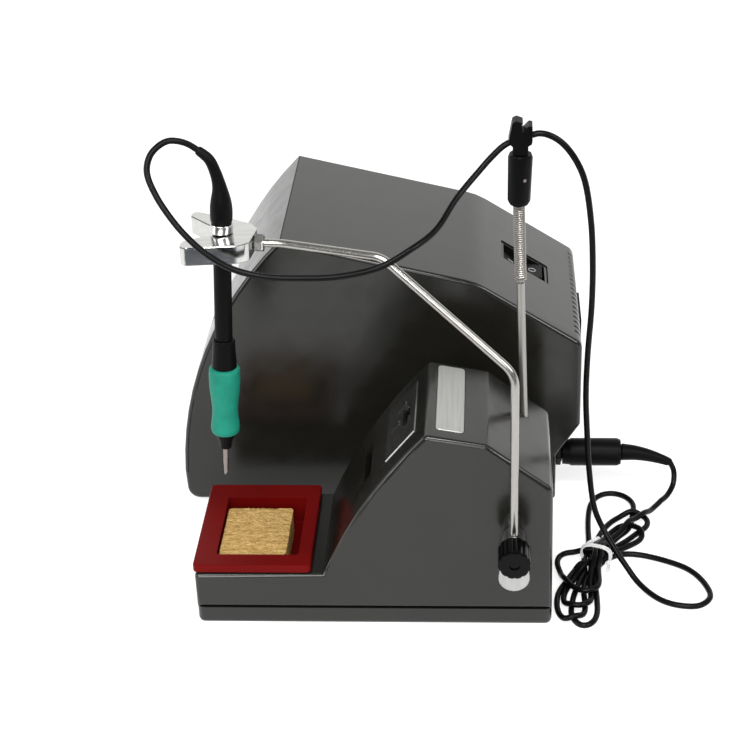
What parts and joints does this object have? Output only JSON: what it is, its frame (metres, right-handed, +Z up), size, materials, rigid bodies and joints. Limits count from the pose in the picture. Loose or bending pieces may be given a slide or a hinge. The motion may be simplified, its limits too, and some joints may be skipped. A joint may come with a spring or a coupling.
{
  "type": "soldering iron station",
  "caption": "Soldering station with a curved power unit and a tool stand that carries a sponge tray, a swivelling arm holding the iron, a sprung cable guide and the corded iron.",
  "frame": {"origin": "on the bench, under the middle of the station's footprint without its free cord", "axes": "+X from the sponge tray to the back, +Y from the tool stand to the power unit, +Z up"},
  "size_m": [0.2756, 0.2514, 0.244],
  "materials": {
    "case": "satin dark grey moulded plastic",
    "red": "satin red moulded plastic",
    "sponge": "damp yellow cellulose sponge",
    "aluminium": "machined and polished",
    "steel": "bright drawn steel",
    "dark_steel": "dark grey sheet metal",
    "chrome": "bright plated",
    "badge": "pale satin plate, blank",
    "black": "black plastic",
    "rubber": "black rubber",
    "cord": "black flexible silicone lead",
    "green": "green soft foam rubber",
    "lens": "dark smoked window",
    "board": "green circuit board with its soldered parts",
    "tie": "pale twist tie"
  },
  "bodies": {
    "base": {"ballast_plate": "steel", "cord_drop": "cord", "cord_hank": "cord", "cord_loop": "cord", "cord_tail": "cord", "cord_tie": "tie", "display_board": "board", "display_lens": "lens", "front_panel": "case", "guide_rod": "steel", "main_base": "case", "main_foot_1": "rubber", "main_foot_2": "rubber", "main_foot_3": "rubber", "main_foot_4": "rubber", "main_screw_1": "steel", "main_screw_2": "steel", "main_shell": "case", "mains_inlet": "black", "name_plate": "badge", "output_socket": "black", "pivot_block": "aluminium", "pivot_screw_1": "steel", "pivot_screw_2": "steel", "plug_body": "black", "plug_boot": "rubber", "power_board": "board", "socket_nut": "steel", "stand_base": "case", "stand_foot_1": "rubber", "stand_foot_2": "rubber", "stand_foot_3": "rubber", "stand_foot_4": "rubber", "stand_screw_1": "steel", "stand_screw_2": "steel", "stand_shell": "case", "switch_housing": "black", "tip_puller_plate": "dark_steel", "transformer": "dark_steel"},
    "tray": {"sponge_tray": "red"},
    "pad": {"sponge": "sponge"},
    "knob": {"clamp_knob": "black", "clamp_stud": "steel"},
    "arm": {"arm_rod": "steel", "tool_fork": "aluminium", "fork_nut": "steel"},
    "iron": {"handle_collar": "chrome", "handle_tube": "black", "handle_sleeve": "black", "grip_sleeve": "green", "nose_cone": "black", "tip_cartridge": "steel", "handle_boot": "rubber"},
    "guide_head": {"guide_spring": "steel", "guide_sleeve": "black", "guide_clip": "black"},
    "rocker": {"switch_rocker": "black"},
    "button_down": {"button_down": "black"},
    "button_set": {"button_set": "black"},
    "button_up": {"button_up": "black"}
  },
  "joints": [
    {"name": "arm_swivel", "type": "hinge", "parent": "base", "child": "arm", "pos_m": [0.0688, -0.1073, 0.053], "axis": [0, 0, 1], "range_deg": [-30, 45], "deforming": ["cord_loop"]},
    {"name": "handle_lift", "type": "slide", "parent": "arm", "child": "iron", "axis": [0.0541, 0, 0.9985], "range_m": [0, 0.03]},
    {"name": "clamp_knob_turn", "type": "hinge", "parent": "base", "child": "knob", "pos_m": [0.0688, -0.1131, 0.0525], "axis": [0, -1, 0], "range_deg": [0, 180]},
    {"name": "switch_tilt", "type": "hinge", "parent": "base", "child": "rocker", "pos_m": [0.07326, 0.0697, 0.11035], "axis": [0, 1, 0], "range_deg": [0, 14]},
    {"name": "guide_flex", "type": "hinge", "parent": "base", "child": "guide_head", "pos_m": [0.07208, -0.0463, 0.16257], "axis": [0, 1, 0], "range_deg": [-12, 12], "stiffness_Nm_per_rad": 0.3, "deforming": ["cord_drop"]},
    {"name": "tray_lift", "type": "slide", "parent": "base", "child": "tray", "axis": [0, 0, 1], "range_m": [0, 0.025]},
    {"name": "sponge_lift", "type": "slide", "parent": "tray", "child": "pad", "axis": [0, 0, 1], "range_m": [0, 0.02]},
    {"name": "button_down_press", "type": "slide", "parent": "base", "child": "button_down", "axis": [0.9633, 0, -0.2684], "range_m": [0, 0.0008], "stiffness_N_per_m": 300},
    {"name": "button_set_press", "type": "slide", "parent": "base", "child": "button_set", "axis": [0.9633, 0, -0.2684], "range_m": [0, 0.0008], "stiffness_N_per_m": 300},
    {"name": "button_up_press", "type": "slide", "parent": "base", "child": "button_up", "axis": [0.9633, 0, -0.2684], "range_m": [0, 0.0008], "stiffness_N_per_m": 300}
  ]
}
